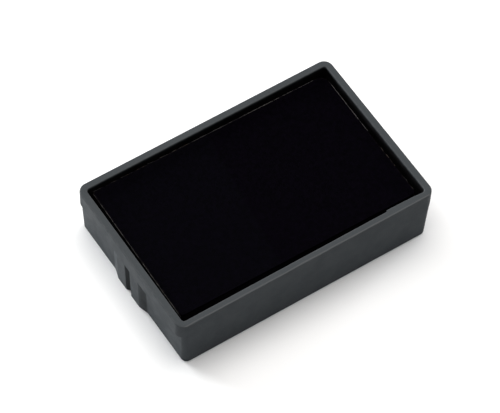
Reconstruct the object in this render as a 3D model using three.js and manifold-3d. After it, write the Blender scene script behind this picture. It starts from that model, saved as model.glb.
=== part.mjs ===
// Replacement ink pad cassette: a moulded tray with an ink-soaked pad bonded into its pocket.
// Millimetres. +X runs along the long side, +Y across, +Z up.
// The origin is the centre of the base, on the surface that the tray stands on.

import * as THREE from 'three';
import { mergeVertices } from 'three/addons/utils/BufferGeometryUtils.js';
import Module from 'manifold-3d';

const wasm = await Module();
wasm.setup();

// ---- Tray ----
const LENGTH = 58.2;
const WIDTH = 37.6;
const HEIGHT = 13.3;
const END_RIM = 1.5; // rim thickness on the short ends
const SIDE_RIM = 1.4; // rim thickness on the long sides
const POCKET_CORNER = 0.6;

// The lip is the proud band round the top. It overhangs the skirt below it on the short ends only.
const LIP_HEIGHT = 4.0;
const LIP_CORNER = 2.0;
const LIP_OVERHANG = 0.72;
const SKIRT_CORNER = 1.0;
const SKIRT_END_TAPER = 0.36; // how far the skirt leans in from the lip to the base, on each end
const SKIRT_SIDE_TAPER = 0.05; // and on each long side

// Grip on each end: two raised lands with a V groove between them and a slope on the outside.
const GRIP_STAND = 0.6;
const GRIP_CENTRE_Y = 0.3;
const GROOVE_HALF = 0.88;
const GROOVE_DEPTH = 0.8; // from the lands' faces, so the groove's bottom is cut into the skirt
const LAND_HALF = 3.8;
const SLOPE_HALF = 5.9;

// Floor of the pocket and the hollow underneath.
const FLOOR_TOP = 8.1;
const FLOOR_THICKNESS = 1.2;
const SKIRT_END_WALL = 1.25;
const UNDERSIDE_CORNER = 0.8;
const RIB_THICKNESS = 1.0;
const RIB_CLEARANCE = 1.0; // the ribs stop this far above the base
const CROSS_RIB_X = 9.2; // a cross rib on each side of the middle

// Land on the inside of the near long wall, next to the +X end.
const NIB_START_X = 18.7;
const NIB_STAND_START = 0.3;
const NIB_STAND_END = 0.1;
const NIB_DEPTH = 1.6;
const NIB_BITE = 0.5; // how far its root runs into the wall

// ---- Pad ----
const PAD_LENGTH = 53.2;
const PAD_WIDTH = 32.6;
const PAD_CORNER = 0.8;
const PAD_TOP_BELOW_RIM = 1.1;
const PAD_OFFSET_X = -0.1;
const PAD_OFFSET_Y = 0.33;
const PAD_SKEW = THREE.MathUtils.degToRad(-0.65); // the pad was laid in a little askew
const BOND_THICKNESS = 0.15;
const CLOTH_THICKNESS = 0.35;
const BOND_INSET = 1.0;

// ---- Meshing ----
const CORNER_STEPS = 8;
const OVERSHOOT = 1; // how far a cutting solid runs past the face that it cuts

const halfLength = LENGTH / 2;
const lipBottom = HEIGHT - LIP_HEIGHT;
const pocketLength = LENGTH - 2 * END_RIM;
const pocketWidth = WIDTH - 2 * SIDE_RIM;
const skirtLength = LENGTH - 2 * LIP_OVERHANG;
const floorBottom = FLOOR_TOP - FLOOR_THICKNESS;

// Adds a quarter-round corner to an outline, from one straight side to the next.
function corner(shape, x, y, radius, startAngle) {
  shape.absarc(x, y, radius, startAngle, startAngle + Math.PI / 2, false);
}

// Rectangle with round corners, centred on the origin.
function roundedRectangle(length, width, radius) {
  const x = length / 2 - radius;
  const y = width / 2 - radius;
  const shape = new THREE.Shape();
  corner(shape, x, -y, radius, -Math.PI / 2);
  corner(shape, x, y, radius, 0);
  corner(shape, -x, y, radius, Math.PI / 2);
  corner(shape, -x, -y, radius, Math.PI);
  shape.closePath();
  return shape;
}

// The grip's profile on one end, as points that follow the skirt's outline in its own direction.
function addGrip(shape, wallX, side) {
  const profile = [
    [-SLOPE_HALF, 0],
    [-LAND_HALF, GRIP_STAND],
    [-GROOVE_HALF, GRIP_STAND],
    [0, GRIP_STAND - GROOVE_DEPTH],
    [GROOVE_HALF, GRIP_STAND],
    [LAND_HALF, GRIP_STAND],
    [SLOPE_HALF, 0],
  ];
  for (const [along, stand] of profile) {
    shape.lineTo(side * (wallX + stand), GRIP_CENTRE_Y + side * along);
  }
}

// The skirt's outline just under the lip: a rounded rectangle with a grip on each short end.
function skirtOutline() {
  const x = skirtLength / 2 - SKIRT_CORNER;
  const y = WIDTH / 2 - SKIRT_CORNER;
  const shape = new THREE.Shape();
  corner(shape, x, -y, SKIRT_CORNER, -Math.PI / 2);
  addGrip(shape, skirtLength / 2, 1);
  corner(shape, x, y, SKIRT_CORNER, 0);
  corner(shape, -x, y, SKIRT_CORNER, Math.PI / 2);
  addGrip(shape, skirtLength / 2, -1);
  corner(shape, -x, -y, SKIRT_CORNER, Math.PI);
  shape.closePath();
  return shape;
}

// Straight prism of an outline, from one height to another.
function prism(shape, fromZ, toZ) {
  const settings = { depth: toZ - fromZ, bevelEnabled: false, curveSegments: CORNER_STEPS };
  return new THREE.ExtrudeGeometry(shape, settings).translate(0, 0, fromZ);
}

function block(fromX, toX, fromY, toY, fromZ, toZ) {
  const box = new THREE.BoxGeometry(toX - fromX, toY - fromY, toZ - fromZ);
  return box.translate((fromX + toX) / 2, (fromY + toY) / 2, (fromZ + toZ) / 2);
}

// Leans a prism's walls in towards its bottom, by the full taper at height 0 and by none at topZ.
function taper(geometry, topZ, endTaper, sideTaper) {
  const place = geometry.attributes.position;
  for (let i = 0; i < place.count; i += 1) {
    const share = 1 - place.getZ(i) / topZ;
    place.setX(i, place.getX(i) - Math.sign(place.getX(i)) * endTaper * share);
    place.setY(i, place.getY(i) - Math.sign(place.getY(i)) * sideTaper * share);
  }
  return geometry;
}

function toSolid(geometry) {
  const bare = geometry.clone();
  bare.deleteAttribute('normal');
  bare.deleteAttribute('uv');
  const merged = mergeVertices(bare);
  const mesh = new wasm.Mesh({
    numProp: 3,
    vertProperties: new Float32Array(merged.attributes.position.array),
    triVerts: new Uint32Array(merged.index.array),
  });
  return new wasm.Manifold(mesh);
}

function toGeometry(solid) {
  const mesh = solid.getMesh();
  const geometry = new THREE.BufferGeometry();
  geometry.setAttribute('position', new THREE.BufferAttribute(mesh.vertProperties, 3));
  geometry.setIndex(new THREE.BufferAttribute(mesh.triVerts, 1));
  geometry.computeVertexNormals();
  return geometry;
}

// The hollow under the floor, with the stiffening ribs left standing in it.
function undersideHollow() {
  const length = skirtLength - 2 * SKIRT_END_TAPER - 2 * SKIRT_END_WALL;
  const outline = roundedRectangle(length, pocketWidth, UNDERSIDE_CORNER);
  let hollow = toSolid(prism(outline, -OVERSHOOT, floorBottom));
  const half = RIB_THICKNESS / 2;
  const ribTop = floorBottom + OVERSHOOT;
  const along = block(-length, length, -half, half, RIB_CLEARANCE, ribTop);
  hollow = hollow.subtract(toSolid(along));
  for (const x of [-CROSS_RIB_X, CROSS_RIB_X]) {
    const across = block(x - half, x + half, -WIDTH, WIDTH, RIB_CLEARANCE, ribTop);
    hollow = hollow.subtract(toSolid(across));
  }
  return hollow;
}

// The land on the near wall: a thin wedge that stands out most at its middle end.
function nib() {
  const wallY = -pocketWidth / 2;
  const endX = pocketLength / 2 + NIB_BITE;
  const shape = new THREE.Shape();
  shape.moveTo(NIB_START_X, wallY - NIB_BITE);
  shape.lineTo(endX, wallY - NIB_BITE);
  shape.lineTo(endX, wallY + NIB_STAND_END);
  shape.lineTo(NIB_START_X, wallY + NIB_STAND_START);
  shape.closePath();
  return prism(shape, HEIGHT - NIB_DEPTH, HEIGHT);
}

function trayGeometry() {
  const skirt = taper(prism(skirtOutline(), 0, lipBottom), lipBottom, SKIRT_END_TAPER, SKIRT_SIDE_TAPER);
  const lip = prism(roundedRectangle(LENGTH, WIDTH, LIP_CORNER), lipBottom, HEIGHT);
  const pocketOutline = roundedRectangle(pocketLength, pocketWidth, POCKET_CORNER);
  const pocket = prism(pocketOutline, FLOOR_TOP, HEIGHT + OVERSHOOT);
  const outside = toSolid(skirt).add(toSolid(lip));
  return toGeometry(outside.subtract(toSolid(pocket)).subtract(undersideHollow()).add(toSolid(nib())));
}

function padLayer(inset, fromZ, toZ) {
  const outline = roundedRectangle(PAD_LENGTH - 2 * inset, PAD_WIDTH - 2 * inset, PAD_CORNER);
  return prism(outline, fromZ, toZ);
}

function part(name, geometry, color, roughness) {
  const material = new THREE.MeshStandardMaterial({ color, roughness, metalness: 0 });
  const mesh = new THREE.Mesh(geometry, material);
  mesh.name = name;
  return mesh;
}

const padTop = HEIGHT - PAD_TOP_BELOW_RIM;
const bondTop = FLOOR_TOP + BOND_THICKNESS;
const feltTop = padTop - CLOTH_THICKNESS;

const pad = new THREE.Group();
pad.position.set(PAD_OFFSET_X, PAD_OFFSET_Y, 0);
pad.rotation.z = PAD_SKEW;
pad.add(part('pad_bond', padLayer(BOND_INSET, FLOOR_TOP, bondTop), 0xb9b39a, 0.4));
pad.add(part('felt_core', padLayer(0, bondTop, feltTop), 0x0b090d, 0.95));
pad.add(part('cover_cloth', padLayer(0, feltTop, padTop), 0x07060a, 0.8));

const cassette = new THREE.Group();
cassette.add(part('cassette_tray', trayGeometry(), 0x4a4d50, 0.55));
cassette.add(pad);

export default cassette;
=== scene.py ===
import math

import bpy
import numpy as np
from mathutils import Matrix, Vector


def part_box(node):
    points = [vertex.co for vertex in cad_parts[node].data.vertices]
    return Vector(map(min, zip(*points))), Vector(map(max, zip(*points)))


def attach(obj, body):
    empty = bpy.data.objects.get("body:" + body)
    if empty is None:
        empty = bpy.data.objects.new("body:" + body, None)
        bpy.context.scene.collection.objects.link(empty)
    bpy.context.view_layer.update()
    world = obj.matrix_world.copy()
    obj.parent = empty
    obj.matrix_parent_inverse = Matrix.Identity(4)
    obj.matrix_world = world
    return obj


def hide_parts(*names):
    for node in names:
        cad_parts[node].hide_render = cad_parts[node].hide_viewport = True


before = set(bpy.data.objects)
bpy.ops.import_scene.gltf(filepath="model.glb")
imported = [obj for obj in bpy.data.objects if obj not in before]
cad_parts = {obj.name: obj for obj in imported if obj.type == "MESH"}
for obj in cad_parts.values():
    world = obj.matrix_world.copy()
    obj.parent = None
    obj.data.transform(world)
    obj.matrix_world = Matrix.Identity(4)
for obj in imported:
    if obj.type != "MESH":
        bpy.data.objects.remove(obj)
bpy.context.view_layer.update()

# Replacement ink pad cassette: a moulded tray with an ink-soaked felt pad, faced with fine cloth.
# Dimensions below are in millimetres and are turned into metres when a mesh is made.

MM = 0.001
TINY = 1e-9  # keeps a division from being by zero


def box_mm(node):
    """Lowest and highest corner of a CAD node, in millimetres."""
    low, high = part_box(node)
    return np.array(low) / MM, np.array(high) / MM


def turned_extent(node, angle):
    """Centre and size of a CAD node measured along its own length and width, in millimetres."""
    points = np.array([v.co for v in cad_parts[node].data.vertices]) / MM
    across = np.array([[math.cos(angle), -math.sin(angle)], [math.sin(angle), math.cos(angle)]])
    own = points[:, :2] @ across
    centre = (own.min(0) + own.max(0)) / 2
    return across @ centre, own.max(0) - own.min(0)


# ---- Tray ----
HALF_LENGTH, HALF_WIDTH, HEIGHT = box_mm("cassette_tray")[1]
END_RIM = 1.5
SIDE_RIM = 1.4
POCKET_END = HALF_LENGTH - END_RIM
POCKET_SIDE = HALF_WIDTH - SIDE_RIM
LIP_BOTTOM = HEIGHT - 4.0
LIP_END = HALF_LENGTH - 0.05
LIP_SIDE = HALF_WIDTH - 0.01
LIP_SIDE_RISE = 0.25  # keeps two rows of points apart on the long sides, where the lip is flush
SKIRT_TOP_END = HALF_LENGTH - 0.72
SKIRT_BASE_END = SKIRT_TOP_END - 0.36
SKIRT_BASE_SIDE = HALF_WIDTH - 0.05
HOLLOW_END = SKIRT_BASE_END - 1.25
HOLLOW_SIDE = POCKET_SIDE
POCKET_DRAFT = 0.02
POCKET_FOOT_DRAFT = 0.08
FLOOR_RING = 2  # width of the ring of faces at the edge of the pocket's floor
FLOOR_TOP = box_mm("pad_bond")[0][2]
FLOOR_BOTTOM = FLOOR_TOP - 1.2
RIB_PLANE = 1.0  # height of the ribs' lower faces
RIB_THICKNESS = 1.0
CROSS_RIB_X = 9.2

LIP_CORNER = 2.0
SKIRT_CORNER = 1.0
SKIRT_BASE_CORNER = 1.3
POCKET_CORNER = 0.6
HOLLOW_CORNER = 0.8

GRIP_STAND = 0.66  # a little prouder than the plain CAD land, so that it runs into the lip
GRIP_CENTRE = 0.3
GROOVE_HALF = 0.88
GROOVE_DEPTH = 0.8
LAND_HALF = 3.8
SLOPE_HALF = 5.9
GRIP_SOFTENING = 0.1

NIB_START = 18.7
NIB_STAND_START = 0.3
NIB_STAND_END = 0.1
NIB_DEPTH = 1.6
NIB_FADE = 0.4

CORNER_STEPS = 14
FILLET_STEPS = 5
SEAM = 0.03  # the least reach of a fillet, where an edge is nearly straight

# ---- Pad ----
PAD_SKEW = math.radians(-0.65)
PAD_CENTRE, PAD_SIZE = turned_extent("felt_core", PAD_SKEW)
FELT_BOTTOM = box_mm("felt_core")[0][2]
FELT_TOP = box_mm("felt_core")[1][2]
CLOTH_TOP = box_mm("cover_cloth")[1][2]
PAD_CORNER = 0.8
ROUNDER_PAD_CORNER = 1.8
LEFT_PART_EDGE = -2.6  # where the slightly lighter left part of the pad ends
LEFT_PART_SLANT = 0.128  # how far that boundary slants along for each millimetre across


# ---- Mesh helpers ----
def float_layer(mesh, name, values):
    """Stores one number for each point of a mesh."""
    layer = mesh.attributes.new(name, "FLOAT", "POINT")
    layer.data.foreach_set("value", np.array(values, np.float32))


def in_scene(name, data):
    """A new object in the scene, at the origin, with a mesh, a light or a camera as its data."""
    made = bpy.data.objects.new(name, data)
    bpy.context.scene.collection.objects.link(made)
    return made


def mesh_object(name, points, faces, attributes=None, edges=()):
    """A named object from points in millimetres. attributes is {name: one number for each point}."""
    mesh = bpy.data.meshes.new(name)
    mesh.from_pydata([tuple(np.array(p) * MM) for p in points], edges, faces)
    for key, values in (attributes or {}).items():
        float_layer(mesh, key, values)
    mesh.update()
    return in_scene(name, mesh)


def applied(piece):
    """Bakes a piece's modifiers into its mesh."""
    bpy.context.view_layer.update()
    shown = piece.evaluated_get(bpy.context.evaluated_depsgraph_get())
    mesh = bpy.data.meshes.new_from_object(shown)
    piece.modifiers.clear()
    piece.data = mesh
    return piece


def smooth(piece, sharp_degrees):
    """Shades a piece smooth, and keeps the edges sharp that turn by more than an angle."""
    for face in piece.data.polygons:
        face.use_smooth = True
    piece.data.set_sharp_from_angle(angle=math.radians(sharp_degrees))
    return piece


def stacked(loops, close_start=True, close_end=True):
    """Faces of a skin over loops of points that all have the same count, with its ends closed."""
    count = len(loops[0])
    points = [p for loop in loops for p in loop]
    faces = []
    for row in range(len(loops) - 1):
        for i in range(count):
            j = (i + 1) % count
            low, high = row * count, (row + 1) * count
            faces.append((low + i, low + j, high + j, high + i))
    if close_start:
        faces.append(tuple(reversed(range(count))))
    if close_end:
        faces.append(tuple(range(len(points) - count, len(points))))
    return points, faces


def rounded_profile(corners, radii, steps=FILLET_STEPS):
    """Points along a polyline whose inner corners are arcs. The first two values of a corner are
    the plane of the arcs, and any others are carried along."""
    corners = [np.array(c, float) for c in corners]
    path = [corners[0]]
    for before, here, after, radius in zip(corners, corners[1:], corners[2:], radii):
        back, forward = before - here, after - here
        back_length, forward_length = np.hypot(*back[:2]), np.hypot(*forward[:2])
        cosine = -np.dot(back[:2], forward[:2]) / (back_length * forward_length)
        half_turn = math.acos(max(-1.0, min(1.0, cosine))) / 2
        reach = max(radius * math.tan(half_turn), SEAM)
        start = here + back * reach / back_length
        end = here + forward * reach / forward_length
        pull = math.cos(half_turn)
        for k in range(steps + 1):
            s = k / steps
            shares = np.array([(1 - s) ** 2, 2 * s * (1 - s) * pull, s**2])
            path.append((shares[0] * start + shares[1] * here + shares[2] * end) / shares.sum())
    path.append(corners[-1])
    return path


# ---- Tray mesh ----
def grip_stand(along):
    """How far the grip stands out of the skirt at a place along a short end."""
    spread = GRIP_SOFTENING * np.linspace(-1, 1, 9)
    samples = abs(along - GRIP_CENTRE + spread)
    stands = [GRIP_STAND - GROOVE_DEPTH, GRIP_STAND, GRIP_STAND, 0]
    return float(np.interp(samples, [0, GROOVE_HALF, LAND_HALF, SLOPE_HALF], stands).mean())


def nib_stand(along):
    """How far the small land inside the near wall stands out at a place along it."""
    if along < NIB_START:
        return 0.0
    share = (along - NIB_START) / (POCKET_END - NIB_START)
    return NIB_STAND_START + (NIB_STAND_END - NIB_STAND_START) * share


def grip_stations():
    """Places along a short end: close together where the grip turns, and even between."""
    turns = [0, GROOVE_HALF, -GROOVE_HALF, LAND_HALF, -LAND_HALF, SLOPE_HALF, -SLOPE_HALF]
    close = [turn + GRIP_SOFTENING * step for turn in turns for step in (-1, -0.6, -0.2, 0.2, 0.6, 1)]
    between = [0.44, 1.35, 1.85, 2.35, 2.85, 3.35, 4.3, 4.85, 5.4]
    every = [*close, *between, *(-y for y in between)]
    return [GRIP_CENTRE + y for y in sorted(every)]


END_STATIONS = [-14, -11, -8.5, -7, *grip_stations(), 7, 8.5, 11, 14]
NIB_STATIONS = [NIB_START - 0.3, NIB_START - 0.04, NIB_START, NIB_START + 0.3, 21.5, 24.5]
SIDE_STATIONS = [-24, -18, -12, -6, 0, 6, 12, *NIB_STATIONS]


def tray_loop(end, side, grip, nib):
    """One loop round the tray, counter-clockwise from above. end and side are (out, height, plan
    radius) on the short ends and the long sides, which the corners blend. grip is "on" where the
    grip adds to the wall, as far as the lip, "under" where it only shows past a ledge, and "" where
    it is absent. nib is 1 where the small land stands out of the near wall, and 0 elsewhere."""
    radius = (end[2] + side[2]) / 2
    x, y = end[0] - radius, side[0] - radius
    loop = []

    def corner(centre_x, centre_y, start):
        for k in range(CORNER_STEPS + 1):
            angle = start + math.pi / 2 * k / CORNER_STEPS
            share = math.cos(angle) ** 2
            height = share * end[1] + (1 - share) * side[1]
            out = (radius * math.cos(angle), radius * math.sin(angle))
            loop.append((centre_x + out[0], centre_y + out[1], height))

    def end_out(along):
        if grip == "on":
            return min(end[0] + grip_stand(along), max(end[0], LIP_END))
        if grip == "under":
            return max(end[0], SKIRT_TOP_END + grip_stand(along))
        return end[0]

    corner(x, -y, -math.pi / 2)
    loop.extend((end_out(a), a, end[1]) for a in END_STATIONS)
    corner(x, y, 0)
    loop.extend((a, side[0], side[1]) for a in reversed(SIDE_STATIONS))
    corner(-x, y, math.pi / 2)
    loop.extend((-end_out(a), a, end[1]) for a in reversed(END_STATIONS))
    corner(-x, -y, math.pi)
    loop.extend((a, -side[0] + nib * nib_stand(a), side[1]) for a in SIDE_STATIONS)
    return loop


# The corners of the tray's section, which are tray_profile's rows after the first one.
HOLLOW_EDGE, SKIRT_BASE, SKIRT_TOP, LIP_EDGE, RIM_OUTER, RIM_INNER, NIB_FOOT = range(7)
WORN_CORNERS = (HOLLOW_EDGE, SKIRT_BASE, LIP_EDGE, RIM_OUTER, RIM_INNER)


def tray_profile():
    """The tray's section on a short end and on a long side, from the hollow underneath, round the
    skirt, lip and rim, and down into the pocket. A point is (out, height, plan radius)."""
    wall_end, wall_side = POCKET_END - POCKET_DRAFT, POCKET_SIDE - POCKET_DRAFT
    foot_end, foot_side = POCKET_END - POCKET_FOOT_DRAFT, POCKET_SIDE - POCKET_FOOT_DRAFT
    nib_foot = HEIGHT - NIB_DEPTH
    rows = [
        # end out, side out, height, plan radius, end fillet, side fillet
        (HOLLOW_END, HOLLOW_SIDE, RIB_PLANE, HOLLOW_CORNER, 0, 0),
        (HOLLOW_END, HOLLOW_SIDE, 0, HOLLOW_CORNER, 0.2, 0.2),
        (SKIRT_BASE_END, SKIRT_BASE_SIDE, 0, SKIRT_BASE_CORNER, 0.3, 0.3),
        (SKIRT_TOP_END, LIP_SIDE, LIP_BOTTOM, SKIRT_CORNER, 0.12, 0.12),
        (LIP_END, LIP_SIDE, LIP_BOTTOM + 0.02, LIP_CORNER, 0.2, 0.12),
        (HALF_LENGTH, HALF_WIDTH, HEIGHT, LIP_CORNER, 0.28, 0.1),
        (POCKET_END, POCKET_SIDE, HEIGHT, POCKET_CORNER, 0.2, 0.2),
        (wall_end, wall_side, nib_foot, POCKET_CORNER, 0.1, 0.1),
        (wall_end, wall_side, nib_foot - NIB_FADE, POCKET_CORNER, 0.1, 0.1),
        (foot_end, foot_side, FLOOR_TOP, POCKET_CORNER, 0.4, 0.4),
        (POCKET_END - FLOOR_RING, POCKET_SIDE - FLOOR_RING, FLOOR_TOP, POCKET_CORNER, 0, 0),
    ]
    end_rows = [(end, z, radius) for end, _, z, radius, _, _ in rows]
    side_rows = [(side, z, radius) for _, side, z, radius, _, _ in rows]
    side_rows[LIP_EDGE + 1] = (LIP_SIDE, LIP_BOTTOM + LIP_SIDE_RISE, LIP_CORNER)
    ends = rounded_profile(end_rows, [row[4] for row in rows[1:-1]])
    sides = rounded_profile(side_rows, [row[5] for row in rows[1:-1]])
    return ends, sides


def tray_shell():
    """The moulding without the pockets underneath, as one closed skin. "edge" is 1 on worn edges."""
    ends, sides = tray_profile()
    fillet = FILLET_STEPS + 1
    loops, edge = [], []
    for row, (end, side) in enumerate(zip(ends, sides)):
        corner = (row - 1) // fillet  # which corner of the profile this row rounds
        grip = "on" if corner in (SKIRT_BASE, SKIRT_TOP) else "under" if corner == LIP_EDGE else ""
        nib = 1.0 if corner in (RIM_INNER, NIB_FOOT) else 0.0
        loop = tray_loop(end, side, grip, nib)
        loops.append(loop)
        step = (row - 1) % fillet / FILLET_STEPS
        worn = math.sin(math.pi * step) if corner in WORN_CORNERS else 0.0
        edge.extend([worn] * len(loop))
    points, faces = stacked(loops)
    return mesh_object("cassette_tray_body", points, faces, {"edge": edge})


def rounded_loop(centre, half, radius, out, height, steps=6):
    """A rounded rectangle grown by out, counter-clockwise from above."""
    grown_radius = max(radius + out, 0.05)
    x, y = half[0] + out - grown_radius, half[1] + out - grown_radius
    loop = []
    for turn, (side_x, side_y) in enumerate([(1, -1), (1, 1), (-1, 1), (-1, -1)]):
        for k in range(steps + 1):
            angle = math.pi / 2 * (turn - 1 + k / steps)
            loop.append((
                centre[0] + side_x * x + grown_radius * math.cos(angle),
                centre[1] + side_y * y + grown_radius * math.sin(angle),
                height,
            ))
    return loop


def round_loop(x, y, radius, height, steps=32):
    """A circle, counter-clockwise from above."""
    turns = [2 * math.pi * k / steps for k in range(steps)]
    return [(x + radius * math.cos(a), y + radius * math.sin(a), height) for a in turns]


def solids_object(name, solids):
    """One object from several closed skins, each given as its loops."""
    points, faces = [], []
    for loops in solids:
        own_points, own_faces = stacked(loops)
        faces.extend(tuple(i + len(points) for i in face) for face in own_faces)
        points.extend(own_points)
    return mesh_object(name, points, faces)


def pocket_cutter():
    """Solids of the six pockets between the ribs, a little inside the hollow's walls."""
    inset, flare, corner = 0.15, 0.12, 0.7
    half_rib = RIB_THICKNESS / 2
    outer_x, outer_y = HOLLOW_END - inset, HOLLOW_SIDE - inset
    spans_x = [
        (-outer_x, -CROSS_RIB_X - half_rib),
        (-CROSS_RIB_X + half_rib, CROSS_RIB_X - half_rib),
        (CROSS_RIB_X + half_rib, outer_x),
    ]
    spans_y = [(-outer_y, -half_rib), (half_rib, outer_y)]
    section = [
        # out from the pocket's own outline, height
        (flare, RIB_PLANE - 0.2),
        (flare, RIB_PLANE + 0.01),
        (0, RIB_PLANE + 0.14),
        (-0.1, FLOOR_BOTTOM),
        (-1.5, FLOOR_BOTTOM),
    ]
    rows = rounded_profile(section, radii=[0.02, 0.1, 0.5])
    solids = []
    for x_low, x_high in spans_x:
        for y_low, y_high in spans_y:
            centre = ((x_low + x_high) / 2, (y_low + y_high) / 2)
            half = ((x_high - x_low) / 2, (y_high - y_low) / 2)
            solids.append([rounded_loop(centre, half, corner, out, z) for out, z in rows])
    return solids_object("pocket_cutter", solids)


def ejector_cutter():
    """Shallow round marks that the mould's ejector pins leave in the pockets' ceilings."""
    radius, depth, clearance = 1.6, 0.12, 0.6
    heights = (FLOOR_BOTTOM - clearance, FLOOR_BOTTOM + depth)
    places = [(x, y) for x in (-18, 0, 18) for y in (-8.9, 8.9)]
    solids = [[round_loop(x, y, radius, z) for z in heights] for x, y in places]
    return solids_object("ejector_cutter", solids)


def cut(piece, cutter):
    """Takes a cutter's solids out of a piece, and removes the cutter."""
    boolean = piece.modifiers.new("cut", "BOOLEAN")
    boolean.operation = "DIFFERENCE"
    boolean.solver = "EXACT"
    boolean.object = cutter
    applied(piece)
    bpy.data.objects.remove(cutter)


def make_tray():
    tray = tray_shell()
    cut(tray, pocket_cutter())
    cut(tray, ejector_cutter())
    smooth(tray, sharp_degrees=38)
    weighted = tray.modifiers.new("even_normals", "WEIGHTED_NORMAL")
    weighted.keep_sharp = True
    weighted.weight = 100
    return applied(tray)


def mark_pocket(tray):
    """Stores how far below the rim each point of the pocket lies, for the ink on its walls."""
    spots = np.array([v.co for v in tray.data.vertices]) / MM
    out = np.abs(spots)
    inside = (out[:, 0] < POCKET_END + 0.02) & (out[:, 1] < POCKET_SIDE + 0.02)
    depth = np.where(inside & (spots[:, 2] > FLOOR_TOP - 0.01), HEIGHT - spots[:, 2], 0.0)
    float_layer(tray.data, "pocket_depth", depth)


# ---- Pad ----
def to_pad(points):
    """Turns points from the pad's own frame into the tray's."""
    points = np.array(points, float)
    cosine, sine = math.cos(PAD_SKEW), math.sin(PAD_SKEW)
    placed = points.copy()
    placed[..., 0] = cosine * points[..., 0] - sine * points[..., 1] + PAD_CENTRE[0]
    placed[..., 1] = sine * points[..., 0] + cosine * points[..., 1] + PAD_CENTRE[1]
    return placed


def rounded_plan(points, half):
    """Pulls the square corners of a grid in onto round ones. One was cut rounder than the rest."""
    points = np.array(points, float)
    rounder = (points[:, 0] > 0) & (points[:, 1] > 0)
    radius = np.where(rounder, ROUNDER_PAD_CORNER, PAD_CORNER)[:, None]
    inner = np.array(half) - radius
    past = np.abs(points[:, :2]) - inner
    corner = (past > 0).all(axis=1)
    reach = past[corner]
    scale = reach.max(axis=1) / np.maximum(np.hypot(*reach.T), TINY)
    points[corner, :2] = np.sign(points[corner, :2]) * (inner[corner] + reach * scale[:, None])
    return points


def block_skin(xs, ys, zs):
    """Surface of a block whose faces are grids on these stations. Returns points, their grid
    places, and faces that point outwards."""
    index, places, faces = {}, [], []

    def at(*place):
        if place not in index:
            index[place] = len(places)
            places.append(place)
        return index[place]

    last = (len(xs) - 1, len(ys) - 1, len(zs) - 1)
    for axis in range(3):
        u, v = (axis + 1) % 3, (axis + 2) % 3
        for level in (0, last[axis]):
            for i in range(last[u]):
                for j in range(last[v]):
                    quad = []
                    for step_u, step_v in [(0, 0), (1, 0), (1, 1), (0, 1)]:
                        place = [0, 0, 0]
                        place[axis], place[u], place[v] = level, i + step_u, j + step_v
                        quad.append(at(*place))
                    faces.append(tuple(quad if level else reversed(quad)))
    points = [(xs[i], ys[j], zs[k]) for i, j, k in places]
    return np.array(points), np.array(places), faces


# The felt is soaked until it swells a little against the bond under it. The simulation runs
# larger than life, because cloth settings are made for garments.
SIM_SCALE = 50
SIM_FRAMES = 14
FELT_CELL = 1.0
FELT_LAYERS = 4
SWELL_LIMIT = 0.16
SWELL_SETTINGS = dict(
    quality=6, mass=0.4, vertex_group_mass="bonded",
    tension_stiffness=20, compression_stiffness=20, bending_stiffness=4,
    use_pressure=True, uniform_pressure_force=2.0,
    use_internal_springs=True, internal_spring_max_length=0.3,
    internal_tension_stiffness=30, internal_compression_stiffness=30,
)


def stations(half):
    """Even places across the felt, about one cell apart."""
    return np.linspace(-half, half, max(2, round(2 * half / FELT_CELL)) + 1)


def felt_block():
    """The felt before it swells: its stations, points, grid places and faces."""
    half = PAD_SIZE / 2
    xs, ys = stations(half[0]), stations(half[1])
    zs = np.linspace(FELT_BOTTOM, FELT_TOP, FELT_LAYERS + 1)
    points, places, faces = block_skin(xs, ys, zs)
    return xs, ys, rounded_plan(points, half), places, faces


def swollen(points, places, faces):
    """The felt's points after a cloth simulation with pressure inside. The bonded face is held."""
    block = mesh_object("felt_simulation", points * SIM_SCALE, faces)
    bonded = block.vertex_groups.new(name="bonded")
    bonded.add([i for i, place in enumerate(places) if place[2] == 0], 1.0, "REPLACE")
    cloth = block.modifiers.new("swell", "CLOTH")
    cloth.point_cache.frame_start = 1
    cloth.point_cache.frame_end = SIM_FRAMES
    for key, value in SWELL_SETTINGS.items():
        setattr(cloth.settings, key, value)
    cloth.settings.effector_weights.gravity = 0
    scene = bpy.context.scene
    scene.frame_start, scene.frame_end = 1, SIM_FRAMES
    for step in range(1, SIM_FRAMES + 1):
        scene.frame_set(step)
    shown = block.evaluated_get(bpy.context.evaluated_depsgraph_get())
    moved = np.array([v.co for v in shown.data.vertices]) / MM / SIM_SCALE
    scene.frame_set(1)
    bpy.data.objects.remove(block)
    swell = moved - points
    length = np.linalg.norm(swell, axis=1, keepdims=True)
    return points + swell * np.minimum(1, SWELL_LIMIT / np.maximum(length, TINY))


def top_sheet(xs, ys, points, places):
    """Height of the felt's top face above its plain level, as a table over its own grid."""
    table = np.zeros((len(xs), len(ys)))
    top = places[:, 2] == FELT_LAYERS
    table[places[top, 0], places[top, 1]] = points[top, 2] - FELT_TOP
    return table


def sampled(table, xs, ys, x, y):
    """The table's value at a place between its stations."""
    within = 1.001  # keeps a place on the last station inside the last cell
    u = np.clip((x - xs[0]) / (xs[1] - xs[0]), 0, len(xs) - within)
    v = np.clip((y - ys[0]) / (ys[1] - ys[0]), 0, len(ys) - within)
    i, j = u.astype(int), v.astype(int)
    a, b = u - i, v - j
    low = table[i, j] * (1 - a) + table[i + 1, j] * a
    high = table[i, j + 1] * (1 - a) + table[i + 1, j + 1] * a
    return low * (1 - b) + high * b


FELT_ROUNDING = 0.12
LUMP_SIZE = 0.5
LUMP_DEPTH = 0.08


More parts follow.
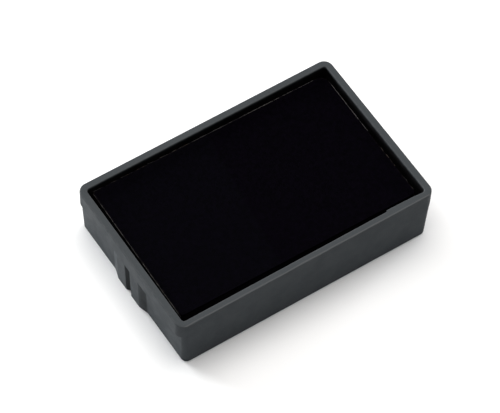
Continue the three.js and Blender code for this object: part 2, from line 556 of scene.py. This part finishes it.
def make_felt(points, places, faces):
    """The felt's body, with soft edges and a lumpy skin. "side" is 1 on its cut sides."""
    side = [float(0 < place[2] < FELT_LAYERS) for place in places]
    felt = mesh_object("felt_body", to_pad(points), faces, {"side": side})
    rounding = felt.modifiers.new("soft_edges", "BEVEL")
    rounding.width = FELT_ROUNDING * MM
    rounding.segments = 2
    rounding.limit_method = "ANGLE"
    rounding.angle_limit = math.radians(50)
    applied(felt)
    layer = felt.modifiers.new("finer", "SUBSURF")
    layer.levels = layer.render_levels = 2
    applied(felt)
    texture = bpy.data.textures.new("felt_lumps", "CLOUDS")
    texture.noise_scale = LUMP_SIZE * MM
    lumps = felt.modifiers.new("lumps", "DISPLACE")
    lumps.texture = texture
    lumps.texture_coords = "LOCAL"
    lumps.strength = LUMP_DEPTH * MM
    lumps.mid_level = 1.0
    applied(felt)
    return smooth(felt, sharp_degrees=60)


# Fine stations close to the cut edge, and even ones across the middle.
CUT_STATIONS = [0.0, 0.05, 0.1, 0.18, 0.3, 0.5, 0.8]
CUT_BAND = 1.2
CLOTH_CELL = 0.6
# The cut edge leans in towards the top: shares of the thickness, and how far in the edge is there.
CLOTH_LEVELS = [0, 0.4, 0.75, 0.92, 1.0]
CLOTH_SETBACKS = [0.0, 0.0, 0.01, 0.035, 0.08]
SETBACK_REACH = 0.12
CUT_REACH = 0.2


def cut_stations(half):
    """Places across the cloth from one cut edge to the other."""
    cells = round(2 * (half - CUT_BAND) / CLOTH_CELL)
    middle = np.linspace(-half + CUT_BAND, half - CUT_BAND, cells + 1)
    edge = np.array(CUT_STATIONS)
    return np.concatenate([edge - half, middle, (half - edge)[::-1]])


def make_cloth(xs, ys, felt_rise):
    """The cloth that lies on the felt. "cut" is 1 at its cut edge, but for the clean near one."""
    half = PAD_SIZE / 2
    levels = np.arange(len(CLOTH_LEVELS), dtype=float)
    points, places, faces = block_skin(cut_stations(half[0]), cut_stations(half[1]), levels)
    level = places[:, 2]
    from_edge = (half - np.abs(points[:, :2])).min(axis=1)
    points = rounded_plan(points, half)
    rise = sampled(felt_rise, xs, ys, points[:, 0], points[:, 1])
    points[:, 2] = FELT_TOP + rise + (CLOTH_TOP - FELT_TOP) * np.array(CLOTH_LEVELS)[level]
    inward = np.array(CLOTH_SETBACKS)[level] * np.clip(1 - from_edge / SETBACK_REACH, 0, 1)
    points[:, :2] *= 1 - inward[:, None] / np.hypot(*points[:, :2].T)[:, None]
    near = places[:, 1] < len(CUT_STATIONS)
    fresh = np.where(near, 0.0, np.clip(1 - from_edge / CUT_REACH, 0, 1))
    cloth = mesh_object("cover_cloth_body", to_pad(points), faces, {"cut": fresh})
    return smooth(cloth, sharp_degrees=80)


# ---- Node helpers ----
FLOAT, VECTOR = "NodeSocketFloat", "NodeSocketVector"


def add_node(tree, kind, **settings):
    node = tree.nodes.new(kind)
    for key, value in settings.items():
        setattr(node, key, value)
    return node


def plug(tree, value, socket):
    """Links a socket to an input, or sets the input to a plain value."""
    if isinstance(value, bpy.types.NodeSocket):
        tree.links.new(value, socket)
    else:
        socket.default_value = value


def feed(tree, node, **inputs):
    """Plugs a node's inputs by name, with spaces written as underscores, or by number, as in _3."""
    for key, value in inputs.items():
        place = int(key[1:]) if key[1:].isdigit() else key.replace("_", " ")
        plug(tree, value, node.inputs[place])
    return node


def math_node(tree, operation, *values, clamp=False):
    node = add_node(tree, "ShaderNodeMath", operation=operation, use_clamp=clamp)
    for socket, value in zip(node.inputs, values):
        plug(tree, value, socket)
    return node.outputs[0]


def plus(tree, first, second):
    return math_node(tree, "ADD", first, second)


def minus(tree, first, second):
    return math_node(tree, "SUBTRACT", first, second)


def times(tree, first, second):
    return math_node(tree, "MULTIPLY", first, second)


def size_of(tree, value):
    return math_node(tree, "ABSOLUTE", value)


def vector_math(tree, operation, *values):
    node = add_node(tree, "ShaderNodeVectorMath", operation=operation)
    for socket, value in zip(node.inputs, values):
        plug(tree, value, socket)
    return node.outputs[0]


def scaled(tree, vector, factor):
    """A vector times a number."""
    node = add_node(tree, "ShaderNodeVectorMath", operation="SCALE")
    return feed(tree, node, _0=vector, Scale=factor).outputs[0]


def separated(tree, vector):
    """The three numbers of a vector."""
    node = add_node(tree, "ShaderNodeSeparateXYZ")
    return feed(tree, node, _0=vector).outputs


def combined(tree, **parts):
    """A vector from its numbers, given as X, Y and Z."""
    return feed(tree, add_node(tree, "ShaderNodeCombineXYZ"), **parts).outputs[0]


def noise(tree, vector, scale, detail=2.0, roughness=0.5):
    """Smooth noise around 0.5. scale is in lumps per metre."""
    node = add_node(tree, "ShaderNodeTexNoise")
    feed(tree, node, Vector=vector, Scale=scale, Detail=detail, Roughness=roughness)
    return node.outputs["Fac"]


def wander(tree, vector, scale, detail):
    """Smooth random vectors around zero."""
    node = add_node(tree, "ShaderNodeTexNoise")
    feed(tree, node, Vector=vector, Scale=scale, Detail=detail)
    return vector_math(tree, "SUBTRACT", node.outputs["Color"], (0.5, 0.5, 0.5))


def ranged(tree, value, low, high, to_low=0.0, to_high=1.0):
    """A smooth step: to_low up to one value, to_high from the other on."""
    node = add_node(tree, "ShaderNodeMapRange", interpolation_type="SMOOTHSTEP")
    return feed(tree, node, _0=value, _1=low, _2=high, _3=to_low, _4=to_high).outputs[0]


def ranged_mm(tree, value, low, high, *levels):
    """A smooth step between two lengths in millimetres."""
    return ranged(tree, value, low * MM, high * MM, *levels)


def mixed(tree, share, first, second):
    """A colour between two, by the share of the second."""
    node = add_node(tree, "ShaderNodeMix", data_type="RGBA")
    return feed(tree, node, _0=share, _6=first, _7=second).outputs[2]


def shader_group(name, inputs, outputs):
    """An empty group with named sockets, and its two ends. An input is (name, kind, value)."""
    tree = bpy.data.node_groups.new(name, "ShaderNodeTree")
    for label, kind, value in inputs:
        socket = tree.interface.new_socket(label, in_out="INPUT", socket_type=kind)
        if value is not None:
            socket.default_value = value
    for label in outputs:
        tree.interface.new_socket(label, in_out="OUTPUT", socket_type=FLOAT)
    return tree, add_node(tree, "NodeGroupInput").outputs, add_node(tree, "NodeGroupOutput").inputs


def place_group(tree, group, **inputs):
    node = add_node(tree, "ShaderNodeGroup", node_tree=group)
    return feed(tree, node, **inputs).outputs


def thread_height(tree, across, on_top):
    """Height over one set of threads, which is less where they pass under the others."""
    back = size_of(tree, math_node(tree, "SINE", times(tree, across, math.pi)))
    return times(tree, back, plus(tree, 0.45, times(tree, on_top, 0.55)))


def plain_weave_group():
    """Over and under threads of a plain weave: their height, and how far down between them."""
    tree, given, result = shader_group(
        "plain_weave",
        [("Vector", VECTOR, None), ("Pitch", FLOAT, 0.0003), ("Wander", FLOAT, 0.15)],
        ["Height", "Gap"],
    )
    drift = scaled(tree, wander(tree, given["Vector"], 700.0, 1.0), given["Wander"])
    steps = scaled(tree, given["Vector"], math_node(tree, "DIVIDE", 1.0, given["Pitch"]))
    x, y, _ = separated(tree, vector_math(tree, "ADD", steps, drift))
    cell = plus(tree, math_node(tree, "FLOOR", x), math_node(tree, "FLOOR", y))
    over = size_of(tree, math_node(tree, "MODULO", cell, 2.0))
    lengthwise = thread_height(tree, x, over)
    crosswise = thread_height(tree, y, minus(tree, 1.0, over))
    height = math_node(tree, "MAXIMUM", lengthwise, crosswise)
    plug(tree, height, result["Height"])
    plug(tree, math_node(tree, "SUBTRACT", 1.0, height, clamp=True), result["Gap"])
    return tree


def ink_soak_group():
    """Uneven blackness of soaked-in ink: a slow mottle with finer spots, from 0 to 1."""
    tree, given, result = shader_group(
        "ink_soak",
        [("Vector", VECTOR, None), ("Patch Size", FLOAT, 0.006), ("Spot Size", FLOAT, 0.0005)],
        ["Soak"],
    )
    patch_scale = math_node(tree, "DIVIDE", 1.0, given["Patch Size"])
    spot_scale = math_node(tree, "DIVIDE", 1.0, given["Spot Size"])
    patches = times(tree, noise(tree, given["Vector"], patch_scale, 3.0), 0.7)
    spots = times(tree, noise(tree, given["Vector"], spot_scale, 2.0), 0.3)
    plug(tree, ranged(tree, plus(tree, patches, spots), 0.35, 0.65), result["Soak"])
    return tree


PLAIN_WEAVE = plain_weave_group()
INK_SOAK = ink_soak_group()


def ink_soak(tree, place, patch, spot):
    """Unevenness of soaked-in ink, from 0 to 1. patch and spot are sizes in metres."""
    return place_group(tree, INK_SOAK, Vector=place, Patch_Size=patch, Spot_Size=spot)["Soak"]


def material(name):
    """A new material with its node tree, its shader and the place on the piece."""
    made = bpy.data.materials.new(name)
    made.use_nodes = True
    tree = made.node_tree
    tree.nodes.clear()
    shader = add_node(tree, "ShaderNodeBsdfPrincipled")
    output = add_node(tree, "ShaderNodeOutputMaterial")
    tree.links.new(shader.outputs[0], output.inputs[0])
    place = add_node(tree, "ShaderNodeTexCoord").outputs["Object"]
    return made, tree, shader, place


def attribute(tree, name):
    return add_node(tree, "ShaderNodeAttribute", attribute_name=name).outputs["Fac"]


def bump(tree, shader, height, distance, strength=1.0):
    node = add_node(tree, "ShaderNodeBump")
    feed(tree, node, Height=height, Distance=distance, Strength=strength)
    plug(tree, node.outputs[0], shader.inputs["Normal"])


# ---- Colours ----
TRAY_GREY = (0.0328, 0.0385, 0.0432, 1)
TRAY_PALER_GREY = (0.0402, 0.0463, 0.0514, 1)
TRAY_SPECK = (0.072, 0.077, 0.081, 1)
TRAY_WORN = (0.1, 0.103, 0.106, 1)
# A painted highlight for the rim's near outer edge.
TRAY_PAINTED_HIGHLIGHT = (0.066, 0.070, 0.074, 1)
# Painted shade for the grips' grooves and near slopes.
TRAY_PAINTED_SHADE = (0.008, 0.0095, 0.011, 1)
INK_FILM = (0.0025, 0.0024, 0.0028, 1)
INK_FILM_THIN = (0.007, 0.0066, 0.0078, 1)
CLOTH_SOAKED = (0.0003, 0.0001, 0.0008, 1)
CLOTH_LESS_SOAKED = (0.0013, 0.0008, 0.0023, 1)
CLOTH_LEFT_BLACK = (0.0006, 0.0005, 0.0012, 1)
CLOTH_LEFT_PALER = (0.0015, 0.0012, 0.0027, 1)
# Painted shade between the cloth's threads.
CLOTH_GAP_SHADE = (0.0002, 0.0002, 0.0004, 1)
CLOTH_BARE = (0.03, 0.027, 0.024, 1)
FELT_SOAKED = (0.0015, 0.0014, 0.002, 1)
FELT_LESS_SOAKED = (0.006, 0.0055, 0.007, 1)
BOND_AMBER = (0.40, 0.36, 0.24, 1)
BOND_CLOUDY = (0.5, 0.47, 0.36, 1)
THREAD_GREY = (0.05, 0.052, 0.055, 1)
THREAD_PALE = (0.115, 0.115, 0.118, 1)
THREAD_BROWN = (0.105, 0.075, 0.045, 1)
THREAD_INKED = (0.008, 0.0075, 0.009, 1)
THREAD_BLACK = (0.002, 0.0019, 0.0025, 1)
PAPER_WHITE = (0.81, 0.842, 0.870, 1)


# ---- Materials ----
# How closely the unevenness of the plastic, and the wander of the painted highlight, are packed, in
# lumps per metre.
SLOW_TONE = 90.0
HIGHLIGHT_WAVES = 350.0
SHEEN_PATCHES = 400.0
WEAR_PATCHES = 900.0
COARSE_PITS = 1800.0
SPECKS = 5200.0
FINE_PITS = 7000.0

# The painted highlight line fades in and out again between these distances in from the rim's near
# outer edge.
HIGHLIGHT_START = (0.02, 0.1)
HIGHLIGHT_END = (0.16, 0.26)
HIGHLIGHT_WANDER = 0.25
# The painted shade in the grips fades over these distances.
GROOVE_FADE = 0.1
SLOPE_FADE = 0.3
SLOPE_DEEPENING = 0.8
LIP_FADE = 0.05


def near_edge_painted_highlight(tree, place):
    """1 on a thin wandering line along the rim's near outer edge: a painted highlight on that edge.
    """
    _, y, z = separated(tree, place)
    drift = times(tree, noise(tree, place, HIGHLIGHT_WAVES), HIGHLIGHT_WANDER * MM)
    inward = plus(tree, minus(tree, y, drift), HALF_WIDTH * MM)
    inner = ranged_mm(tree, inward, *HIGHLIGHT_END, 1.0, 0.0)
    outer = ranged_mm(tree, inward, *HIGHLIGHT_START)
    top = ranged_mm(tree, z, HEIGHT - 0.04, HEIGHT - 0.01)
    return times(tree, times(tree, inner, outer), top)


def grip_painted_shade(tree, place):
    """1 in the V groove of each grip and less on its near slope: painted shade on faces that turn
    away from the light.
    """
    x, y, z = separated(tree, place)
    along = minus(tree, y, GRIP_CENTRE * MM)
    groove = ranged_mm(tree, size_of(tree, along), GROOVE_HALF - GROOVE_FADE, GROOVE_HALF, 1.0, 0.0)
    slope_end = ranged_mm(tree, along, -SLOPE_HALF, SLOPE_FADE - SLOPE_HALF)
    slope_start = ranged_mm(tree, along, -LAND_HALF - SLOPE_DEEPENING, -LAND_HALF, 0.75, 0.0)
    inside = math_node(tree, "MAXIMUM", groove, times(tree, slope_end, slope_start))
    on_end = ranged_mm(tree, size_of(tree, x), SKIRT_BASE_END - 0.7, SKIRT_BASE_END - 0.4)
    below = ranged_mm(tree, z, LIP_BOTTOM - LIP_FADE, LIP_BOTTOM, 1.0, 0.0)
    return times(tree, times(tree, inside, on_end), below)


def tray_grey(tree, place):
    """The plastic's colour, with its specks and its worn edges, a painted highlight along the rim's
    near outer edge, and painted shade in the grips.
    """
    body = mixed(tree, noise(tree, place, SLOW_TONE, 3.0), TRAY_GREY, TRAY_PALER_GREY)
    speck = ranged(tree, noise(tree, place, SPECKS), 0.55, 0.75, 0.0, 0.4)
    body = mixed(tree, speck, body, TRAY_SPECK)
    patchy = ranged(tree, noise(tree, place, WEAR_PATCHES, 3.0), 0.35, 0.6, 0.2, 1.0)
    worn = times(tree, times(tree, attribute(tree, "edge"), patchy), 0.3)
    body = mixed(tree, worn, body, TRAY_WORN)
    # A painted highlight along the rim's near outer edge.
    body = mixed(tree, near_edge_painted_highlight(tree, place), body, TRAY_PAINTED_HIGHLIGHT)
    # Painted shade in each grip's V groove and on its near slope.
    return mixed(tree, times(tree, grip_painted_shade(tree, place), 0.75), body, TRAY_PAINTED_SHADE)


def tray_material():
    """Dark grey moulded plastic with a fine spark-eroded grain, and ink on the pocket's walls."""
    made, tree, shader, place = material("moulded_tray_plastic")
    ragged = times(tree, noise(tree, place, WEAR_PATCHES, 3.0), 0.5)
    inked = ranged(tree, minus(tree, attribute(tree, "pocket_depth"), ragged), -0.1, 0.55)
    film = mixed(tree, ink_soak(tree, place, 0.003, 0.0004), INK_FILM, INK_FILM_THIN)
    colour = mixed(tree, inked, tray_grey(tree, place), film)
    rough = ranged(tree, noise(tree, place, SHEEN_PATCHES), 0.3, 0.7, 0.46, 0.56)
    feed(tree, shader, Base_Color=colour, Roughness=rough, Specular_IOR_Level=0.06)
    coarse = times(tree, noise(tree, place, COARSE_PITS), 0.5)
    grain = plus(tree, noise(tree, place, FINE_PITS), coarse)
    bump(tree, shader, grain, distance=0.000018, strength=0.8)
    return made


def lighter_left_part(tree, place):
    """1 on the pad's left part, which is a little lighter, and 0 on the rest."""
    x, y, _ = separated(tree, place)
    across = minus(tree, x, times(tree, y, LEFT_PART_SLANT))
    across = plus(tree, across, times(tree, noise(tree, place, 500.0, 3.0), 1.2 * MM))
    return ranged_mm(tree, across, LEFT_PART_EDGE + 0.2, LEFT_PART_EDGE + 1.0, 1.0, 0.0)


def cloth_material():
    """Fine plain weave, black with ink, a little lighter at its left end, and a little less inked at
    its cut edges.
    """
    made, tree, shader, place = material("inked_weave")
    turned = add_node(tree, "ShaderNodeMapping")
    feed(tree, turned, Vector=place, Rotation=(0, 0, -PAD_SKEW))
    weave = place_group(tree, PLAIN_WEAVE, Vector=turned.outputs[0], Pitch=0.00028, Wander=0.25)
    soak = ink_soak(tree, place, 0.0007, 0.0003)
    black = mixed(tree, soak, CLOTH_SOAKED, CLOTH_LESS_SOAKED)
    left_black = mixed(tree, soak, CLOTH_LEFT_BLACK, CLOTH_LEFT_PALER)
    black = mixed(tree, lighter_left_part(tree, place), black, left_black)
    # Darker where the threads part: painted shade between them.
    black = mixed(tree, times(tree, weave["Gap"], 0.6), black, CLOTH_GAP_SHADE)
    ragged = ranged(tree, noise(tree, place, 1400.0, 3.0), 0.45, 0.65)
    bare = times(tree, times(tree, attribute(tree, "cut"), ragged), 0.25)
    colour = mixed(tree, bare, black, CLOTH_BARE)
    rough = ranged(tree, soak, 0.0, 1.0, 0.82, 0.95)
    feed(tree, shader, Base_Color=colour, Roughness=rough, Specular_IOR_Level=0.01)
    bump(tree, shader, weave["Height"], distance=0.00004, strength=0.8)
    return made


def felt_material():
    """Dense felt, black with ink. It serves the felt's body and its loose fibres."""
    made, tree, shader, place = material("inked_felt")
    soak = ink_soak(tree, place, 0.004, 0.0003)
    colour = mixed(tree, soak, FELT_SOAKED, FELT_LESS_SOAKED)
    rough = ranged(tree, soak, 0.0, 1.0, 0.85, 1.0)
    feed(tree, shader, Base_Color=colour, Roughness=rough, Specular_IOR_Level=0.05)
    bump(tree, shader, noise(tree, place, 6000.0, 4.0, 0.7), distance=0.00008)
    return made


def bond_material():
    """Amber adhesive film, cloudy in patches."""
    made, tree, shader, place = material("adhesive_film")
    cloudy = noise(tree, place, 300.0, 3.0)
    rough = ranged(tree, cloudy, 0.3, 0.7, 0.2, 0.4)
    feed(tree, shader, Base_Color=mixed(tree, cloudy, BOND_AMBER, BOND_CLOUDY), Roughness=rough)
    bump(tree, shader, noise(tree, place, 1200.0), distance=0.00002, strength=0.5)
    return made


def thread_material():
    """Cut thread ends that took less ink than the rest, mostly grey, with a few brownish ones."""
    made, tree, shader, place = material("cut_thread")
    tint = attribute(tree, "tint")
    grey = mixed(tree, ranged(tree, tint, 0.0, 0.8), THREAD_GREY, THREAD_PALE)
    brown = times(tree, ranged(tree, tint, 0.1, 0.5), attribute(tree, "warmth"))
    dry = mixed(tree, brown, grey, THREAD_BROWN)
    inked = ranged(tree, ink_soak(tree, place, 0.0016, 0.0003), 0.55, 0.85)
    colour = mixed(tree, inked, dry, THREAD_INKED)
    colour = mixed(tree, attribute(tree, "tone"), THREAD_BLACK, colour)
    rough = ranged(tree, tint, 0.0, 1.0, 0.6, 0.85)
    feed(tree, shader, Base_Color=colour, Roughness=rough, Specular_IOR_Level=0.1)
    return made


# ---- Threads and fibres ----
def geometry_tree(name, numbers):
    """A tree that takes a mesh, some numbers and a seed, and its two ends."""
    tree = bpy.data.node_groups.new(name, "GeometryNodeTree")
    inputs = [("Geometry", "NodeSocketGeometry")]
    inputs.extend((label, FLOAT) for label in numbers)
    inputs.append(("Seed", "NodeSocketInt"))
    for label, kind in inputs:
        tree.interface.new_socket(label, in_out="INPUT", socket_type=kind)
    tree.interface.new_socket("Geometry", in_out="OUTPUT", socket_type="NodeSocketGeometry")
    return tree, add_node(tree, "NodeGroupInput").outputs, add_node(tree, "NodeGroupOutput").inputs


def grown(name, source, tree, **values):
    """A plain mesh object of what a tree grows on a source, with the tree's inputs set by name."""
    grower = source.modifiers.new(name, "NODES")
    grower.node_group = tree
    for item in tree.interface.items_tree:
        key = item.name.replace(" ", "_").lower()
        if item.item_type == "SOCKET" and item.in_out == "INPUT" and key in values:
            grower[item.identifier] = values[key]
    bpy.context.view_layer.update()
    shown = source.evaluated_get(bpy.context.evaluated_depsgraph_get())
    mesh = bpy.data.meshes.new_from_object(shown)
    mesh.name = name
    source.modifiers.remove(grower)
    return in_scene(name, mesh)


def random_value(tree, low, high, seed, draw):
    """A random number or vector for each point. draw tells one set of values from another."""
    kind, first, out = ("FLOAT_VECTOR", 0, 0) if isinstance(low, tuple) else ("FLOAT", 2, 1)
    node = add_node(tree, "FunctionNodeRandomValue", data_type=kind)
    node.inputs[first].default_value = low
    node.inputs[first + 1].default_value = high
    feed(tree, node, Seed=plus(tree, seed, float(draw)))
    return node.outputs[out]


def stored_number(tree, name):
    node = add_node(tree, "GeometryNodeInputNamedAttribute", data_type="FLOAT")
    node.inputs[0].default_value = name
    return node.outputs[0]


def is_more(tree, first, second):
    node = add_node(tree, "FunctionNodeCompare", data_type="FLOAT", operation="GREATER_THAN")
    return feed(tree, node, A=first, B=second).outputs[0]


def facing(tree, vector):
    """A rotation that turns a strand's length along a vector."""
    node = add_node(tree, "FunctionNodeAlignRotationToVector", axis="X")
    return feed(tree, node, Vector=vector).outputs[0]


def shaped(tree, kind, **inputs):
    """What a geometry node puts out, by its kind's short name and with its inputs fed."""
    return feed(tree, add_node(tree, "GeometryNode" + kind), **inputs).outputs[0]


def strand(tree, length, radius, rings, sides):
    """A thin straight tube along X, centred on the origin."""
    start = combined(tree, X=times(tree, length, -0.5))
    end = combined(tree, X=times(tree, length, 0.5))
    line = shaped(tree, "CurvePrimitiveLine", Start=start, End=end)
    even = shaped(tree, "ResampleCurve", Curve=line, Count=rings)
    ring = shaped(tree, "CurvePrimitiveCircle", Resolution=sides, Radius=radius)
    return shaped(tree, "CurveToMesh", Curve=even, Profile_Curve=ring, Fill_Caps=True)


def finish_strands(tree, result, instances, seed, bend, bend_scale, look):
    """Stores a tint on each strand, makes them real, bends them and gives them their material."""
    tinted = add_node(tree, "GeometryNodeStoreNamedAttribute", data_type="FLOAT", domain="INSTANCE")
    tint = random_value(tree, 0.0, 1.0, seed, draw=7)
    feed(tree, tinted, Geometry=instances, Name="tint", Value=tint)
    real = shaped(tree, "RealizeInstances", _0=tinted.outputs[0])
    shift = scaled(tree, wander(tree, shaped(tree, "InputPosition"), bend_scale, 2.0), bend)
    bent = shaped(tree, "SetPosition", Geometry=real, Offset=shift)
    plug(tree, shaped(tree, "SetMaterial", Geometry=bent, Material=look), result[0])


THREAD_BEND_SCALE = 420.0
FIBRE_BEND_SCALE = 2500.0


def cut_thread_tree(look):
    """Loose threads that lie along a cut edge. The edge's own "fray" says how many are left."""
    numbers = ["Spacing", "Thread Length", "Thread Radius", "Spread", "Bend"]
    tree, given, result = geometry_tree("cut_threads", numbers)
    seed = given["Seed"]
    along = add_node(tree, "GeometryNodeCurveToPoints", mode="LENGTH")
    feed(tree, along, Curve=shaped(tree, "MeshToCurve", _0=given[0]), Length=given["Spacing"])
    missing = is_more(tree, random_value(tree, 0.0, 1.0, seed, draw=1), stored_number(tree, "fray"))
    left = add_node(tree, "GeometryNodeDeleteGeometry", domain="POINT")
    feed(tree, left, Geometry=along.outputs[0], Selection=missing)
    scatter = random_value(tree, (-1, -1, -0.6), (1, 1, 0.6), seed, draw=2)
    scatter = scaled(tree, scatter, given["Spread"])
    moved = shaped(tree, "SetPosition", Geometry=left.outputs[0], Offset=scatter)
    tilt = random_value(tree, (-0.07, -0.07, -0.05), (0.07, 0.07, 0.05), seed, draw=3)
    towards = vector_math(tree, "ADD", along.outputs["Tangent"], tilt)
    length = random_value(tree, 0.35, 1.0, seed, draw=4)
    thick = random_value(tree, 0.6, 1.0, seed, draw=5)
    thread = strand(tree, given["Thread Length"], given["Thread Radius"], rings=12, sides=5)
    size = combined(tree, X=length, Y=thick, Z=thick)
    many = shaped(tree, "InstanceOnPoints", Points=moved, Instance=thread,
                  Rotation=facing(tree, towards), Scale=size)
    finish_strands(tree, result, many, seed, given["Bend"], THREAD_BEND_SCALE, look)
    return tree


def felt_fibre_tree(look):
    """Short fibres that stand out of the felt's cut sides."""
    numbers = ["Density", "Fibre Length", "Fibre Radius", "Bend"]
    tree, given, result = geometry_tree("felt_fibres", numbers)
    seed = given["Seed"]
    on_side = is_more(tree, stored_number(tree, "side"), 0.5)
    scatter = add_node(tree, "GeometryNodeDistributePointsOnFaces")
    feed(tree, scatter, Mesh=given[0], Selection=on_side, Density=given["Density"], Seed=seed)
    tilt = random_value(tree, (-0.9, -0.9, -0.9), (0.9, 0.9, 0.9), seed, draw=3)
    towards = vector_math(tree, "ADD", scatter.outputs["Normal"], tilt)
    size = random_value(tree, (0.4, 0.7, 0.7), (1, 1, 1), seed, draw=4)
    fibre = strand(tree, given["Fibre Length"], given["Fibre Radius"], rings=5, sides=3)
    many = shaped(tree, "InstanceOnPoints", Points=scatter.outputs[0], Instance=fibre,
                  Rotation=facing(tree, towards), Scale=size)
    finish_strands(tree, result, many, seed, given["Bend"], FIBRE_BEND_SCALE, look)
    return tree


EDGE_STEP = 0.8
EDGE_SINK = 0.06  # how far the loose threads lie below the cloth's face
EDGE_INSET = 0.9
FAR_CHANGE = 0.45  # from here to the right, the far edge's threads are greyer and closer together
RIGHT_CHANGE = 0.55  # from here to the far end, the right edge's threads are paler and closer


def thread_state(side, along):
    """At a place on the cut edge: the share of loose threads left, how pale they are, how brown."""
    if side == "far" and along > FAR_CHANGE:
        return 0.95, 0.45 + 0.6 * (along - FAR_CHANGE), 0.1
    if side == "far":
        return 0.45, 0.35, 0.8
    if side == "right" and along > RIGHT_CHANGE:
        return 0.97, 0.75, 0.1
    if side == "right":
        return 0.15, 0.35, 0.7
    return 0.99, 0.5, 0.1


def edge_line():
    """The cloth's upper cut edge as an open run of points for each side, with its thread state."""
    half_x, half_y = PAD_SIZE / 2
    runs = {
        "right": ((half_x, -half_y + EDGE_INSET), (half_x, half_y - 1.6)),
        "far": ((half_x - 3.0, half_y), (-half_x + EDGE_INSET, half_y)),
        "left": ((-half_x, half_y - EDGE_INSET), (-half_x - 0.12, -half_y + 0.3)),
    }
    points, edges, states = [], [], []
    for side, ends in runs.items():
        start, end = np.array(ends)
        count = round(np.linalg.norm(end - start) / EDGE_STEP)
        for k in range(count + 1):
            share = k / count
            x, y = start + (end - start) * share
            if k:
                edges.append((len(points) - 1, len(points)))
            points.append((x, y, CLOTH_TOP - EDGE_SINK))
            states.append(thread_state(side, 1 - share if side == "far" else share))
    layers = dict(zip(("fray", "tone", "warmth"), zip(*states)))
    return mesh_object("cloth_edge", to_pad(points), [], layers, edges)


# ---- Stage ----
CAMERA_AZIMUTH = -35.17
CAMERA_ELEVATION = 56.97
CAMERA_ROLL = math.radians(2.57)
CAMERA_PLACE = (-0.18487, -0.26062, 0.49896)
CAMERA_LENS = 217.8
LAMP_DISTANCE = 0.8
FLOOR_REACH = 1.5


def direction(azimuth, elevation):
    """From the origin outwards, in degrees. Azimuth 0 is in front, and 90 on the right."""
    turn, lift = math.radians(azimuth), math.radians(elevation)
    flat = math.cos(lift)
    return Vector((math.sin(turn) * flat, -math.cos(turn) * flat, math.sin(lift)))


def make_camera():
    data = bpy.data.cameras.new("camera")
    data.lens = CAMERA_LENS
    data.sensor_width = 36
    camera = in_scene("camera", data)
    level = (-direction(CAMERA_AZIMUTH, CAMERA_ELEVATION)).to_track_quat("-Z", "Y")
    camera.rotation_mode = "QUATERNION"
    camera.rotation_quaternion = level @ Matrix.Rotation(CAMERA_ROLL, 3, "Z").to_quaternion()
    camera.location = CAMERA_PLACE
    bpy.context.scene.camera = camera


def make_floor():
    mesh = bpy.data.meshes.new("floor")
    signs = [(-1, -1), (1, -1), (1, 1), (-1, 1)]
    corners = [(x * FLOOR_REACH, y * FLOOR_REACH, 0) for x, y in signs]
    mesh.from_pydata(corners, [], [(0, 1, 2, 3)])
    floor = in_scene("floor", mesh)
    made, tree, shader, _ = material("studio_paper")
    feed(tree, shader, Base_Color=PAPER_WHITE, Roughness=0.9, Specular_IOR_Level=0.0)
    mesh.materials.append(made)


def soft_box(name, azimuth, elevation, size, power, colour):
    """A square soft box that faces the origin."""
    data = bpy.data.lights.new(name, "AREA")
    data.size = size
    data.energy = power
    data.color = colour
    lamp = in_scene(name, data)
    towards = direction(azimuth, elevation)
    lamp.location = towards * LAMP_DISTANCE
    lamp.rotation_mode = "QUATERNION"
    lamp.rotation_quaternion = towards.to_track_quat("Z", "Y")
    lamp.visible_camera = False


def make_light():
    world = bpy.data.worlds.new("studio")
    world.use_nodes = True
    tree = world.node_tree
    feed(tree, tree.nodes["Background"], Color=(0.85, 0.93, 1.0, 1), Strength=0.11)
    bpy.context.scene.world = world
    soft_box("overhead", 150, 81, size=0.8, power=9.25, colour=(1, 0.935, 0.88))
    soft_box("right_card", 95, 14, size=0.35, power=3.6, colour=(0.97, 0.98, 0.99))
    soft_box("back_left_card", 198, 7, size=0.4, power=18.4, colour=(0.985, 0.98, 0.975))
    bpy.context.scene.view_settings.view_transform = "Standard"


# ---- Making ----
def dress(piece, look):
    piece.data.materials.clear()
    piece.data.materials.append(look)


make_camera()
make_floor()
make_light()

thread_look = thread_material()
felt_look = felt_material()

tray = make_tray()
mark_pocket(tray)
dress(tray, tray_material())

xs, ys, felt_points, felt_places, felt_faces = felt_block()
felt_points = swollen(felt_points, felt_places, felt_faces)
felt_rise = top_sheet(xs, ys, felt_points, felt_places)
felt = make_felt(felt_points, felt_places, felt_faces)
dress(felt, felt_look)
cloth = make_cloth(xs, ys, felt_rise)
dress(cloth, cloth_material())

line = edge_line()
threads = grown(
    "cut_threads", line, cut_thread_tree(thread_look),
    spacing=0.45 * MM, thread_length=1.5 * MM, thread_radius=0.05 * MM, spread=0.025 * MM,
    bend=0.05 * MM, seed=11,
)
bpy.data.objects.remove(line)
fibres = grown(
    "felt_fibres", felt, felt_fibre_tree(felt_look),
    density=5.0e6, fibre_length=0.5 * MM, fibre_radius=0.012 * MM, bend=0.15 * MM, seed=5,
)

dress(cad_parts["pad_bond"], bond_material())

for piece, node, slot in (
    (tray, "cassette_tray", "tray_plastic"),
    (felt, "felt_core", "inked_felt"),
    (cloth, "cover_cloth", "inked_cloth"),
):
    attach(piece, "root")
    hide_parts(node)
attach(threads, "root")
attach(fibres, "root")
